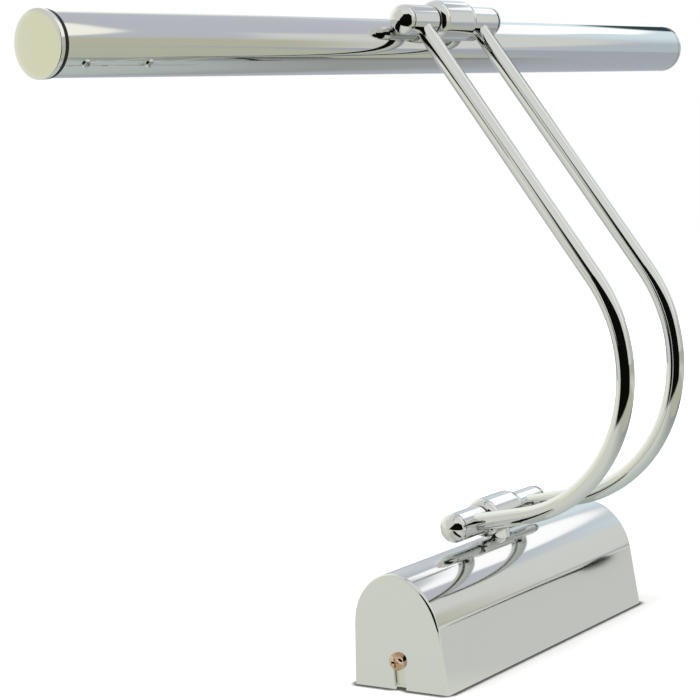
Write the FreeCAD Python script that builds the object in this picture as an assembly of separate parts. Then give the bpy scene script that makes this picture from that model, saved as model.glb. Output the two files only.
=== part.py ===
import FreeCAD, Part
import math
import os

# Bathroom mirror light: an arched wall base, two bent swing arms and a slotted lamp tube.
# Millimetres. X points up the wall, Y runs along the lamp, Z points out of the wall.
# The origin is the middle of the base, on the wall face.

# Base cover
base_length = 168.0
base_width = 52.0
base_height = 51.8
crown_half_width = 23.35
crown_rise = 27.0
cover_wall = 1.2
cover_edge_round = 1.2
screw_slot_width = 6.2

# End screws
end_screw_z = 12.9
end_screw_radius = 2.0
end_screw_head_radius = 4.0
end_screw_head_height = 2.6
end_screw_head_round = 1.9
end_screw_recess_across = 4.0
end_screw_recess_width = 0.9
end_screw_recess_depth = 1.2
end_screw_reach = 7.5

# Wall bracket
bracket_wall = 1.5
bracket_width = 46.0
bracket_corner = 4.0
bracket_gap = 0.3
tab_width = 18.0
tab_height = 20.0
tab_corner = 5.0
bend_inner_radius = 1.0
wall_slot_pitch = 132.0
wall_slot_width = 4.6
wall_slot_length = 12.0

# Cable entry
cable_x = 12.5
cable_y = -10.0
cable_bore_radius = 4.0
grommet_neck_radius = 6.0
grommet_flange_radius = 8.0
grommet_flange = 1.5
grommet_height = 4.5

# Lamp driver
driver_length = 92.0
driver_width = 21.0
driver_height = 20.0
driver_edge_round = 1.5
driver_x = -10.8
driver_ear_length = 8.0
driver_ear_wall = 2.0
driver_screw_radius = 1.5
driver_screw_head_radius = 2.8
driver_screw_head_height = 2.0

# Supply terminal
terminal_x = 12.0
terminal_y = 26.0
terminal_pitch = 6.2
terminal_poles = 3
terminal_length = 16.0
terminal_height = 7.0
terminal_tower_radius = 2.6
terminal_tower_height = 3.6
terminal_sleeve_radius = 1.9
terminal_sleeve_bore = 1.3
terminal_screw_radius = 1.2

# Earth terminal
earth_x = 12.5
earth_y = -38.0
earth_stud_radius = 2.0
earth_stud_height = 9.0
earth_washer_radius = 4.5
earth_washer_wall = 0.8
earth_nut_flats = 7.0
earth_nut_height = 3.2
earth_tag_radius = 3.6
earth_tag_wall = 0.8
earth_tag_tongue = 6.5
earth_lead_radius = 1.1
earth_lead_straight = 11.0
earth_lead_clear_x = 7.5
earth_lead_clear_y = 6.0
earth_lead_climb = 3.0
earth_lead_landing = 10.0

# Hinge joints, the same at the base and at the lamp
lower_hinge_rise = 10.1
axle_radius = 3.5
axle_bore = 2.2
axle_lead_hole = 2.0
axle_window_spare = 0.7
running_gap = 0.05
face_gap = 0.1
knuckle_radius = 9.2
knuckle_flat = 9.4
knuckle_length = 26.8
knuckle_nose_radius = 6.3
foot_radius = 6.3
washer_wall = 1.1
washer_radius = 6.2
barrel_radius = 6.8
barrel_length = 18.5
barrel_edge_round = 0.35
dome_thread_depth = 3.6
dome_neck = 1.0
dome_rise = 4.5
dome_edge_round = 3.0
dome_seam_depth = 0.3

# Hollow studs that hold the knuckles
stud_radius = 4.0
stud_bore = 2.6
stud_hole_gap = 0.15
stud_seat = 4.5
stud_tail = 0.9
lower_saddle_radius = 9.0
lower_saddle_flat = 4.2
upper_saddle_radius = 6.8
upper_saddle_flat = 3.4
lock_washer_wall = 0.8
lock_washer_radius = 6.6
lock_washer_split = 1.5
lower_nut_height = 4.0
upper_nut_height = 2.4
nut_flats = 13.0

# Swing arms
arm_radius = 4.0
arm_wall = 1.0
arm_spacing = 45.0
arm_seat = 4.2
lower_heading = 8.8
lower_run = 31.6
bend_radius = 69.0
upper_heading = 123.9
upper_run = 145.5
lead_radius = 0.8
lead_rest_gap = 0.1
stud_lead_gap = 0.7

# How far each joint swings from the way it is drawn, in degrees, and the spare at a lead window's ends
arm_swing_low = -75.0
arm_swing_high = 35.0
head_swing_low = -30.0
head_swing_high = 90.0
window_end_spare = 15.0

# Lamp head
head_drop = 19.6
head_tilt = 59.6
head_length = 473.5
tube_radius = 12.5
tube_wall = 1.0
tube_edge_round = 0.4
aperture_half_angle = 42.0
aperture_end_margin = 30.0
cap_radius = 13.0
cap_flange = 2.0
cap_edge_round = 0.9
cap_spigot_wall = 1.5
cap_spigot_length = 17.0
cap_fit_gap = 0.1
seal_wall = 0.9
seal_inset = 0.7
rivet_radius = 1.2
rivet_head_radius = 1.9
rivet_head_height = 0.7
rivet_tail = 0.4
rivet_angle = 72.4
cap_rivet_inset = 14.5
carrier_rivet_inset = 47.6

# Light engine inside the tube
carrier_gap = 0.05
carrier_flange = 1.2
carrier_web = 1.5
carrier_web_drop = 0.3
carrier_top_angle = 55.0
carrier_low_angle = 125.0
carrier_end_gap = 1.0
board_width = 10.0
board_wall = 1.2
board_end_margin = 34.0
led_count = 24
led_width = 2.8
led_length = 3.5
led_height = 0.8
diffuser_wall = 1.5
diffuser_half_angle = 52.0
diffuser_lap = 6.0
diffuser_slot_gap = 0.2
diffuser_flush_inset = 0.2
connector_y = 27.0
connector_length = 12.0
connector_width = 6.0
connector_height = 5.0
connector_lead_height = 2.4

# Wiring inside the base
supply_lead_radius = 1.0
supply_lead_climb = 3.0
supply_lead_margin = 3.0
supply_lead_pitch = 4.0
driver_lead_first_x = 4.0
driver_lead_pitch = 5.0
driver_lead_height = 10.5
lamp_lead_margin = 9.0
lamp_lead_pitch = 3.0
lamp_lead_clear = 8.5
lamp_lead_layer = 4.0
lead_bend = 4.0
lead_small_bend = 2.4
lead_tight_bend = 1.5
lead_end_bend = 0.9

# Sizes that follow from the ones above
driver_screw_y = (driver_length + driver_ear_length) / 2
lower_hinge_height = base_height + lower_hinge_rise
lower_hinge = FreeCAD.Vector(0, 0, lower_hinge_height)
y_axis = FreeCAD.Vector(0, 1, 0)
z_axis = FreeCAD.Vector(0, 0, 1)
washer_start = knuckle_length / 2
barrel_start = washer_start + washer_wall + face_gap
barrel_end = barrel_start + barrel_length
dome_start = barrel_end + face_gap
axle_half = dome_start + dome_thread_depth
tube_inner = tube_radius - tube_wall
tube_half = head_length / 2 - cap_flange - seal_wall
tube_axis_z = -head_drop
carrier_radius = tube_inner - carrier_gap
web_top_z = tube_axis_z - carrier_web_drop
board_top_z = web_top_z - carrier_web
spigot_radius = tube_inner - cap_fit_gap
spigot_end = tube_half - cap_spigot_length
aperture_length = head_length - 2 * aperture_end_margin
board_length = head_length - 2 * board_end_margin
diffuser_length = aperture_length + 2 * diffuser_lap


def heading_vector(degrees):
    # Unit vector in the XZ plane, turned from +X towards +Z.
    angle = math.radians(degrees)
    return FreeCAD.Vector(math.cos(angle), 0, math.sin(angle))


def arm_points():
    # Corner points of the arm's centreline: lower hinge, bend start, bend centre, bend end, upper hinge.
    low = heading_vector(lower_heading)
    high = heading_vector(upper_heading)
    bend_start = lower_hinge + low * lower_run
    bend_centre = bend_start + heading_vector(lower_heading + 90) * bend_radius
    bend_end = bend_centre + heading_vector(upper_heading - 90) * bend_radius
    return lower_hinge, bend_start, bend_centre, bend_end, bend_end + high * upper_run


upper_hinge = arm_points()[4]


def to_upper(shape):
    # Places a shape drawn about the upper hinge, with the lamp tube straight below it.
    placed = shape.copy()
    placed.rotate(FreeCAD.Vector(0, 0, 0), y_axis, head_tilt)
    placed.translate(upper_hinge)
    return placed


def to_lower(shape):
    placed = shape.copy()
    placed.translate(lower_hinge)
    return placed


def rod(radius, start, end):
    # Round bar between two points.
    return Part.makeCylinder(radius, (end - start).Length, start, end - start)


def y_rod(radius, start, end, x=0.0, z=0.0):
    return rod(radius, FreeCAD.Vector(x, start, z), FreeCAD.Vector(x, end, z))


def z_rod(radius, start, end, x=0.0, y=0.0):
    return rod(radius, FreeCAD.Vector(x, y, start), FreeCAD.Vector(x, y, end))


def block(width, length, height, centre_x, centre_y, low_z):
    corner = FreeCAD.Vector(centre_x - width / 2, centre_y - length / 2, low_z)
    return Part.makeBox(width, length, height, corner)


def mirrored_y(shape):
    return shape.mirror(FreeCAD.Vector(0, 0, 0), y_axis)


def turned(profile, axis_point, axis):
    # Solid of revolution from a closed list of corner points, or of edges.
    return Part.Face(profile).revolve(axis_point, axis, 360)


def closed_wire(points):
    return Part.makePolygon(points + [points[0]])


def edges_of(shape, wanted):
    return [edge for edge in shape.Edges if wanted(edge.BoundBox)]


def hex_prism(flats, height, low_z):
    corner = flats / 2 / math.cos(math.radians(30))
    points = []
    for step in range(6):
        angle = math.radians(60 * step)
        points.append(FreeCAD.Vector(corner * math.cos(angle), corner * math.sin(angle), low_z))
    return Part.Face(closed_wire(points)).extrude(z_axis * height)


def sector(inner, outer, half_angle, middle_angle, length, centre_z):
    # Part of a ring about the tube axis. Angles are measured from straight down.
    def point(radius, degrees):
        angle = math.radians(middle_angle + degrees)
        return FreeCAD.Vector(radius * math.sin(angle), -length / 2, centre_z - radius * math.cos(angle))

    outer_arc = Part.Arc(point(outer, -half_angle), point(outer, 0), point(outer, half_angle))
    inner_arc = Part.Arc(point(inner, half_angle), point(inner, 0), point(inner, -half_angle))
    right = Part.LineSegment(point(outer, half_angle), point(inner, half_angle))
    left = Part.LineSegment(point(inner, -half_angle), point(outer, -half_angle))
    wire = Part.Wire([outer_arc.toShape(), right.toShape(), inner_arc.toShape(), left.toShape()])
    return Part.Face(wire).extrude(y_axis * length)


def rounded_path(points, bends):
    # Straight runs joined by tangent arcs, one bend radius for each inner corner.
    edges = []
    start = points[0]
    for corner, after, bend in zip(points[1:-1], points[2:], bends):
        inward = (corner - start).normalize()
        outward = (after - corner).normalize()
        turn = inward.getAngle(outward)
        cut_back = bend * math.tan(turn / 2)
        arc_start = corner - inward * cut_back
        arc_end = corner + outward * cut_back
        to_centre = (outward - inward).normalize()
        arc_middle = corner + to_centre * (bend / math.cos(turn / 2) - bend)
        edges.append(Part.LineSegment(start, arc_start).toShape())
        edges.append(Part.Arc(arc_start, arc_middle, arc_end).toShape())
        start = arc_end
    edges.append(Part.LineSegment(start, points[-1]).toShape())
    return Part.Wire(edges)


def lead(points, bends, radius):
    path = rounded_path(points, bends)
    ring = Part.Wire([Part.Circle(points[0], points[1] - points[0], radius).toShape()])
    return path.makePipeShell([ring], True, False)


def ellipse_arc(centre, first, second, start, end):
    # Arc of an ellipse given by its two half axes. Angles run from the first towards the second.
    if first.Length >= second.Length:
        ellipse = Part.Ellipse(centre + first, centre + second, centre)
        return Part.ArcOfEllipse(ellipse, start, end)
    ellipse = Part.Ellipse(centre + second, centre + first, centre)
    return Part.ArcOfEllipse(ellipse, math.pi / 2 - end, math.pi / 2 - start)


def arch_face(inset, y):
    # Flat-bottomed arch: leaning sides tangent to an elliptical crown, drawn inset from the outside.
    crown_z = base_height - crown_rise
    across = crown_half_width - inset
    rise = crown_rise - inset
    foot = base_width / 2 - inset
    # The tangent point is found with the ellipse squeezed to a circle of radius 1.
    reach = math.hypot(foot / across, crown_z / rise)
    half_sweep = math.pi + math.asin(1 / reach) - math.atan2(crown_z / rise, -foot / across)
    touch_x = across * math.sin(half_sweep)
    touch_z = crown_z + rise * math.cos(half_sweep)
    right_foot = FreeCAD.Vector(foot, y, 0)
    left_foot = FreeCAD.Vector(-foot, y, 0)
    right_touch = FreeCAD.Vector(touch_x, y, touch_z)
    left_touch = FreeCAD.Vector(-touch_x, y, touch_z)
    crown = ellipse_arc(FreeCAD.Vector(0, y, crown_z), FreeCAD.Vector(0, 0, rise),
                        FreeCAD.Vector(across, 0, 0), -half_sweep, half_sweep)
    wire = Part.Wire([
        Part.LineSegment(right_foot, right_touch).toShape(),
        crown.toShape(),
        Part.LineSegment(left_touch, left_foot).toShape(),
        Part.LineSegment(left_foot, right_foot).toShape(),
    ])
    return Part.Face(wire)


def arch_solid(inset):
    half = base_length / 2 - inset
    return arch_face(inset, -half).extrude(y_axis * 2 * half)


def base_cover():
    # Pressed cover, open to the wall, with a rounded edge round each end.
    outside = arch_solid(0)
    half = base_length / 2
    ends = edges_of(outside, lambda box: box.YLength < 0.01 and box.ZMax > 0.01)
    cover = outside.makeFillet(cover_edge_round, ends).cut(arch_solid(cover_wall))
    # Slots open at the wall, so that the cover drops over the loosened end screws.
    slot = block(screw_slot_width, base_length + 2, end_screw_z, 0, 0, 0)
    slot_top = y_rod(screw_slot_width / 2, -half - 1, half + 1, 0, end_screw_z)
    stud_hole = z_rod(stud_radius + stud_hole_gap, base_height - crown_rise, base_height + 1)
    return cover.cut(slot.fuse(slot_top)).cut(stud_hole)


def end_screw():
    # Pan head screw with a cross recess, at the -Y end, its head outside the cover.
    face = -base_length / 2
    top = face - end_screw_head_height
    head = y_rod(end_screw_head_radius, top, face, 0, end_screw_z)
    rim = edges_of(head, lambda box: box.YMax < top + 0.01 and box.XLength > 1)
    head = head.makeFillet(end_screw_head_round, rim)
    screw = head.fuse(y_rod(end_screw_radius, face, face + end_screw_reach, 0, end_screw_z))
    depth = end_screw_recess_depth
    width = end_screw_recess_width
    across = end_screw_recess_across
    upright = block(width, depth, across, 0, top + depth / 2, end_screw_z - across / 2)
    level = block(across, depth, width, 0, top + depth / 2, end_screw_z - width / 2)
    return screw.removeSplitter().cut(upright.fuse(level).removeSplitter())


def end_screws():
    screw = end_screw()
    return Part.makeCompound([screw, mirrored_y(screw)])


def wall_bracket():
    # Flat strip with a tapped tab turned up at each end, inside the cover.
    half = base_length / 2 - cover_wall - bracket_gap
    strip = block(tab_width, 2 * half, tab_height, 0, 0, 0)
    bottom_ends = edges_of(strip, lambda box: box.XLength > 1 and box.YLength < 0.01 and box.ZMax < 0.01)
    strip = strip.makeFillet(bend_inner_radius + bracket_wall, bottom_ends)
    hollow = block(tab_width, 2 * (half - bracket_wall), tab_height, 0, 0, bracket_wall)
    inner_ends = edges_of(hollow, lambda box: box.XLength > 1 and box.YLength < 0.01
                          and box.ZMax < bracket_wall + 0.01)
    strip = strip.cut(hollow.makeFillet(bend_inner_radius, inner_ends))
    tab_tops = edges_of(strip, lambda box: box.XLength < 0.01 and box.ZLength < 0.01
                        and box.ZMin > tab_height - 0.01)
    strip = strip.makeFillet(tab_corner, tab_tops)
    plate_length = 2 * (half - bend_inner_radius - bracket_wall)
    plate = block(bracket_width, plate_length, bracket_wall, 0, 0, 0)
    corners = edges_of(plate, lambda box: box.XLength < 0.01 and box.YLength < 0.01)
    bracket = plate.makeFillet(bracket_corner, corners).fuse(strip).removeSplitter()
    holes = [y_rod(end_screw_radius, -half - 1, half + 1, 0, end_screw_z)]
    slot_run = wall_slot_length - wall_slot_width
    for side in (-1, 1):
        slot_y = side * wall_slot_pitch / 2
        holes.append(block(wall_slot_width, slot_run, bracket_wall, 0, slot_y, 0))
        for end in (-1, 1):
            holes.append(z_rod(wall_slot_width / 2, 0, bracket_wall, 0, slot_y + end * slot_run / 2))
        holes.append(z_rod(driver_screw_radius, 0, bracket_wall, driver_x, side * driver_screw_y))
    holes.append(z_rod(grommet_neck_radius, 0, bracket_wall, cable_x, cable_y))
    for hole in holes:
        bracket = bracket.cut(hole)
    return bracket


def cable_grommet():
    neck = z_rod(grommet_neck_radius, 0, bracket_wall, cable_x, cable_y)
    flange = z_rod(grommet_flange_radius, bracket_wall, bracket_wall + grommet_flange, cable_x, cable_y)
    nose = Part.makeCone(grommet_neck_radius, cable_bore_radius + 1.0,
                         grommet_height - bracket_wall - grommet_flange,
                         FreeCAD.Vector(cable_x, cable_y, bracket_wall + grommet_flange), z_axis)
    bore = z_rod(cable_bore_radius, -1, grommet_height + 1, cable_x, cable_y)
    return neck.fuse([flange, nose]).cut(bore).removeSplitter()


def led_driver():
    # Potted driver box with a screw ear at each end.
    box = block(driver_width, driver_length, driver_height, driver_x, 0, bracket_wall)
    rounded = edges_of(box, lambda b: b.ZMin > bracket_wall + 1 or b.ZLength > 1)
    box = box.makeFillet(driver_edge_round, rounded)
    ear_span = 2 * (driver_length / 2 + driver_ear_length)
    ears = block(driver_width * 0.5, ear_span, driver_ear_wall, driver_x, 0, bracket_wall)
    driver = box.fuse(ears)
    for side in (-1, 1):
        driver = driver.cut(z_rod(driver_screw_radius, 0, driver_height, driver_x, side * driver_screw_y))
    return driver.removeSplitter()


def driver_screws():
    screws = []
    for side in (-1, 1):
        y = side * driver_screw_y
        seat = bracket_wall + driver_ear_wall
        shank = z_rod(driver_screw_radius, 0, seat, driver_x, y)
        head = z_rod(driver_screw_head_radius, seat, seat + driver_screw_head_height, driver_x, y)
        rim = edges_of(head, lambda box: box.ZMin > seat + driver_screw_head_height - 0.01)
        screws.append(shank.fuse(head.makeFillet(driver_screw_head_height * 0.5, rim)))
    return Part.makeCompound(screws)


def terminal_columns():
    first = -(terminal_poles - 1) / 2
    return [terminal_x + (first + pole) * terminal_pitch for pole in range(terminal_poles)]


def terminal_block():
    # Strip of moulded poles, each with a screw tower and a passage for its brass sleeve.
    width = terminal_pitch * terminal_poles
    body = block(width, terminal_length, terminal_height, terminal_x, terminal_y, bracket_wall)
    top = bracket_wall + terminal_height
    axis_z = bracket_wall + terminal_height / 2
    tower_gap = terminal_length / 4
    for x in terminal_columns():
        for end in (-1, 1):
            y = terminal_y + end * tower_gap
            body = body.fuse(z_rod(terminal_tower_radius, top, top + terminal_tower_height, x, y))
    for x in terminal_columns():
        start = terminal_y - terminal_length / 2
        body = body.cut(y_rod(terminal_sleeve_radius, start, start + terminal_length, x, axis_z))
        for end in (-1, 1):
            y = terminal_y + end * tower_gap
            body = body.cut(z_rod(terminal_screw_radius, axis_z, top + terminal_tower_height, x, y))
    return body


def terminal_sleeves():
    sleeves = []
    axis_z = bracket_wall + terminal_height / 2
    start = terminal_y - terminal_length / 2
    for x in terminal_columns():
        sleeve = y_rod(terminal_sleeve_radius, start, start + terminal_length, x, axis_z)
        sleeve = sleeve.cut(y_rod(terminal_sleeve_bore, start, start + terminal_length, x, axis_z))
        for end in (-1, 1):
            y = terminal_y + end * terminal_length / 4
            sleeve = sleeve.cut(z_rod(terminal_screw_radius, axis_z, axis_z + terminal_sleeve_radius, x, y))
        sleeves.append(sleeve)
    return Part.makeCompound(sleeves)


def terminal_screws():
    screws = []
    axis_z = bracket_wall + terminal_height / 2
    top = bracket_wall + terminal_height + terminal_tower_height * 0.6
    for x in terminal_columns():
        for end in (-1, 1):
            y = terminal_y + end * terminal_length / 4
            screws.append(z_rod(terminal_screw_radius, axis_z + terminal_sleeve_bore, top, x, y))
    return Part.makeCompound(screws)


def earth_stud():
    return z_rod(earth_stud_radius, bracket_wall, bracket_wall + earth_stud_height, earth_x, earth_y)


def earth_ring(radius, low, wall):
    ring = z_rod(radius, low, low + wall, earth_x, earth_y)
    return ring.cut(z_rod(earth_stud_radius, low, low + wall, earth_x, earth_y))


def earth_washer():
    return earth_ring(earth_washer_radius, bracket_wall, earth_washer_wall)


def earth_nut():
    low = bracket_wall + earth_washer_wall + earth_tag_wall
    nut = hex_prism(earth_nut_flats, earth_nut_height, low)
    nut.translate(FreeCAD.Vector(earth_x, earth_y, 0))
    return nut.cut(z_rod(earth_stud_radius, low, low + earth_nut_height, earth_x, earth_y))


def earth_lead():
    # Ring tag on the earth stud and its lead to the last pole of the terminal.
    tag_low = bracket_wall + earth_washer_wall
    tongue = block(2 * earth_lead_radius, earth_tag_tongue, earth_tag_wall,
                   earth_x, earth_y + earth_tag_tongue / 2, tag_low)
    hole = z_rod(earth_stud_radius, tag_low, tag_low + earth_tag_wall, earth_x, earth_y)
    tag = earth_ring(earth_tag_radius, tag_low, earth_tag_wall).fuse(tongue.cut(hole))
    grip_y = earth_y + earth_tag_tongue - 2 * earth_tag_wall
    axis_z = bracket_wall + terminal_height / 2
    pole_x = terminal_columns()[-1]
    block_y = terminal_y - terminal_length / 2
    lead_z = tag_low + earth_lead_radius
    points = [FreeCAD.Vector(earth_x, grip_y, lead_z),
              FreeCAD.Vector(earth_x, earth_y + earth_lead_straight, lead_z),
              FreeCAD.Vector(earth_x + earth_lead_clear_x, cable_y - earth_lead_clear_y,
                             lead_z + earth_lead_climb),
              FreeCAD.Vector(pole_x, block_y - earth_lead_landing, axis_z),
              FreeCAD.Vector(pole_x, block_y, axis_z)]
    wire = lead(points, [lead_bend, lead_bend, lead_bend], earth_lead_radius)
    return tag.fuse(wire)


def knuckle(seat):
    # Centre block of a hinge joint: a bellied barrel across the joint with a foot, hollow for the leads.
    nose = knuckle_length / 2

    def at(y, radius):
        return FreeCAD.Vector(0, y, radius)

    outline = []
    for side in (-1, 1):
        shoulder = ellipse_arc(at(side * knuckle_flat, knuckle_nose_radius),
                               at(0, knuckle_radius - knuckle_nose_radius),
                               at(side * (nose - knuckle_flat), 0), 0, math.pi / 2)
        outline.append(shoulder.toShape())
    for first, second in ((at(-knuckle_flat, knuckle_radius), at(knuckle_flat, knuckle_radius)),
                          (at(nose, knuckle_nose_radius), at(nose, 0)), (at(nose, 0), at(-nose, 0)),
                          (at(-nose, 0), at(-nose, knuckle_nose_radius))):
        outline.append(Part.LineSegment(first, second).toShape())
    body = turned(Part.Wire(Part.__sortEdges__(outline)), FreeCAD.Vector(0, 0, 0), y_axis)
    body = body.fuse(z_rod(foot_radius, -head_drop, 0)).cut(seat)
    body = body.cut(y_rod(axle_radius, -nose, nose))
    body = body.cut(z_rod(stud_radius, -head_drop, -stud_seat))
    return body.cut(z_rod(axle_bore, -stud_seat, 0)).removeSplitter()


def axle(lead_windows):
    # Hollow axle: a hole for the leads under its middle, and a window as wide as each arm swings.
    shaft = y_rod(axle_radius, -axle_half, axle_half)
    shaft = shaft.cut(y_rod(axle_bore, -axle_half, axle_half))
    shaft = shaft.cut(z_rod(axle_lead_hole, -axle_radius - 1, 0))
    low_angle, high_angle = lead_windows
    window_width = 2 * (lead_radius + axle_window_spare)
    half_angle = (high_angle - low_angle) / 2
    window = sector(axle_bore / 2, axle_radius + 1, half_angle, 90 + (high_angle + low_angle) / 2,
                    window_width, 0)
    for side in (-1, 1):
        cut = window.copy()
        cut.translate(y_axis * side * arm_spacing / 2)
        shaft = shaft.cut(cut)
    return shaft


def friction_washers():
    outer = y_rod(washer_radius, washer_start, washer_start + washer_wall)
    washer = outer.cut(y_rod(axle_radius, washer_start, washer_start + washer_wall))
    return Part.makeCompound([washer, mirrored_y(washer)])


def dome_nuts():
    # Smooth cap nuts on the ends of an axle: a shallow dome with a rounded edge and a neck at the seam.
    shoulder = dome_start + dome_neck

    def at(y, radius):
        return FreeCAD.Vector(0, y, radius)

    neck_radius = barrel_radius - dome_seam_depth
    edge_centre = at(shoulder, barrel_radius - dome_edge_round)
    flatness = dome_rise - dome_edge_round
    # The crown's centre lies so far behind the shoulder that crown and edge run into each other.
    behind = ((barrel_radius - dome_edge_round) ** 2 - flatness ** 2) / (2 * flatness)
    crown_centre = at(shoulder - behind, 0)
    outward = (edge_centre - crown_centre).normalize()
    meeting = edge_centre + outward * dome_edge_round
    edge_middle = edge_centre + (outward + at(0, 1)).normalize() * dome_edge_round
    crown_middle = crown_centre + (outward + at(1, 0)).normalize() * (behind + dome_rise)
    tip = at(shoulder + dome_rise, 0)
    outline = [Part.Arc(at(shoulder, barrel_radius), edge_middle, meeting).toShape(),
               Part.Arc(meeting, crown_middle, tip).toShape()]
    corners = [tip, at(dome_start, 0), at(dome_start, neck_radius),
               at(shoulder, neck_radius), at(shoulder, barrel_radius)]
    for first, second in zip(corners[:-1], corners[1:]):
        outline.append(Part.LineSegment(first, second).toShape())
    nut = turned(Part.Wire(Part.__sortEdges__(outline)), FreeCAD.Vector(0, 0, 0), y_axis)
    nut = nut.cut(y_rod(axle_radius, dome_start, axle_half))
    return Part.makeCompound([nut, mirrored_y(nut)])


def stud(top, bottom):
    return z_rod(stud_radius, bottom, top).cut(z_rod(stud_bore, bottom, top))


def stud_spacer(radius, flat_z, cavity):
    # Spacer whose upper side follows the curved wall above it.
    spacer = z_rod(radius, flat_z, 0).common(cavity)
    return spacer.cut(z_rod(stud_radius + stud_hole_gap, flat_z, 0))


def lock_washer(top_z):
    low_z = top_z - lock_washer_wall
    washer = z_rod(lock_washer_radius, low_z, top_z)
    washer = washer.cut(z_rod(stud_radius + stud_hole_gap, low_z, top_z))
    split = block(lock_washer_radius * 2, lock_washer_split, lock_washer_wall,
                  lock_washer_radius + 1, 0, low_z)
    return washer.cut(split)


def stud_nut(top_z, height):
    nut = hex_prism(nut_flats, height, top_z - height)
    return nut.cut(z_rod(stud_radius, top_z - height, top_z))


def barrel(hinge, direction, side):
    # Arm end: a turned barrel on the axle with a socket for the arm tube.
    start = side * barrel_start
    end = side * barrel_end
    shell = y_rod(barrel_radius, start, end)
    rims = edges_of(shell, lambda box: box.YLength < 0.01 and box.XLength > 1)
    shell = shell.makeFillet(barrel_edge_round, rims)
    shell = shell.cut(y_rod(axle_radius + running_gap, start, end))
    middle = FreeCAD.Vector(0, side * arm_spacing / 2, 0)
    socket = rod(arm_radius, middle + direction * arm_seat, middle + direction * (barrel_radius + 1))
    passage = rod(arm_radius - arm_wall, middle, middle + direction * arm_seat)
    shell = shell.cut(socket).cut(passage)
    shell.translate(hinge)
    return shell


def arm_run(radius, y):
    # Round bar along the arm's centreline, in the plane at y.
    start, bend_start, bend_centre, bend_end, end = arm_points()
    low = heading_vector(lower_heading)
    high = heading_vector(upper_heading)
    shift = y_axis * y
    first = start + low * arm_seat + shift

    def section(centre, direction):
        return Part.Face(Part.Wire([Part.Circle(centre, direction, radius).toShape()]))

    lower = section(first, low).extrude(bend_start + shift - first)
    turn = upper_heading - lower_heading
    bend = section(bend_start + shift, low).revolve(bend_centre + shift, y_axis * -1, turn)
    last = end - high * arm_seat
    upper = section(bend_end + shift, high).extrude(last - bend_end)
    return lower.fuse([bend, upper])


def arm(side):
    y = side * arm_spacing / 2
    return arm_run(arm_radius, y).cut(arm_run(arm_radius - arm_wall, y))


def arm_lead(side):
    rest = arm_radius - arm_wall - lead_radius - lead_rest_gap
    return arm_run(lead_radius, side * (arm_spacing / 2 - rest))


def supply_leads():
    # From the terminal round the end of the driver.
    axis_z = bracket_wall + terminal_height / 2
    exit_y = terminal_y + terminal_length / 2
    driver_end = driver_length / 2
    leads = []
    for number, pole_x in enumerate(terminal_columns()[:2]):
        far_y = driver_end + driver_ear_length + supply_lead_margin + number * supply_lead_pitch
        entry_x = driver_x + driver_lead_first_x - number * driver_lead_pitch
        high_z = axis_z + supply_lead_climb
        points = [FreeCAD.Vector(pole_x, exit_y, axis_z), FreeCAD.Vector(pole_x, far_y, high_z),
                  FreeCAD.Vector(entry_x, far_y, high_z), FreeCAD.Vector(entry_x, driver_end, high_z)]
        leads.append(lead(points, [lead_bend, lead_bend], supply_lead_radius))
    return Part.makeCompound(leads)


def lamp_leads():
    # From the driver up the lower stud and out along the axle, one lead to each side.
    driver_end = -driver_length / 2
    beside = stud_bore - lead_radius - stud_lead_gap
    leads = []
    for number, side in enumerate((-1, 1)):
        start_x = driver_x + driver_lead_first_x - number * driver_lead_pitch
        start_z = bracket_wall + driver_lead_height
        back_y = driver_end - lamp_lead_margin - number * lamp_lead_pitch
        over_z = bracket_wall + driver_height + lamp_lead_clear + number * lamp_lead_layer
        points = [FreeCAD.Vector(start_x, driver_end, start_z), FreeCAD.Vector(start_x, back_y, start_z),
                  FreeCAD.Vector(start_x, back_y, over_z), FreeCAD.Vector(start_x, side * beside, over_z),
                  FreeCAD.Vector(0, side * beside, over_z),
                  FreeCAD.Vector(0, side * beside, lower_hinge_height),
                  FreeCAD.Vector(0, side * arm_spacing / 2, lower_hinge_height)]
        bends = [lead_bend, lead_bend, lead_small_bend, lead_small_bend, lead_tight_bend]
        leads.append(lead(points, bends, lead_radius))
    return Part.makeCompound(leads)


def tube_cylinder(radius, half, margin=0.0):
    return y_rod(radius, -half - margin, half + margin, 0, tube_axis_z)


def radial_rod(radius, inner, outer, degrees, y):
    # Round bar square to the tube wall. The angle is measured from straight up.
    angle = math.radians(degrees)
    out = FreeCAD.Vector(math.sin(angle), 0, math.cos(angle))
    centre = FreeCAD.Vector(0, y, tube_axis_z)
    return rod(radius, centre + out * inner, centre + out * outer)


def rivet_places():
    # Angle and place along the tube of the two rivets, which hold the near cap and the tray.
    return [(rivet_angle, inset - head_length / 2) for inset in (cap_rivet_inset, carrier_rivet_inset)]


def rivet_holes():
    holes = []
    for angle, y in rivet_places():
        holes.append(radial_rod(rivet_radius, tube_inner - 4, tube_radius + 1, angle, y))
    return Part.makeCompound(holes)


def lamp_tube():
    # Lamp tube with the light slot along its underside, facing away from the knuckle.
    outside = tube_cylinder(tube_radius, tube_half)
    ends = edges_of(outside, lambda box: box.YLength < 0.01 and box.XLength > 1)
    shell = outside.makeFillet(tube_edge_round, ends).cut(tube_cylinder(tube_inner, tube_half))
    slot = sector(tube_inner - 2, tube_radius + 1, aperture_half_angle, 0, aperture_length, tube_axis_z)
    stud_hole = z_rod(stud_radius + stud_hole_gap, tube_axis_z, 0)
    return shell.cut(slot).cut(stud_hole).cut(rivet_holes())


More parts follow.
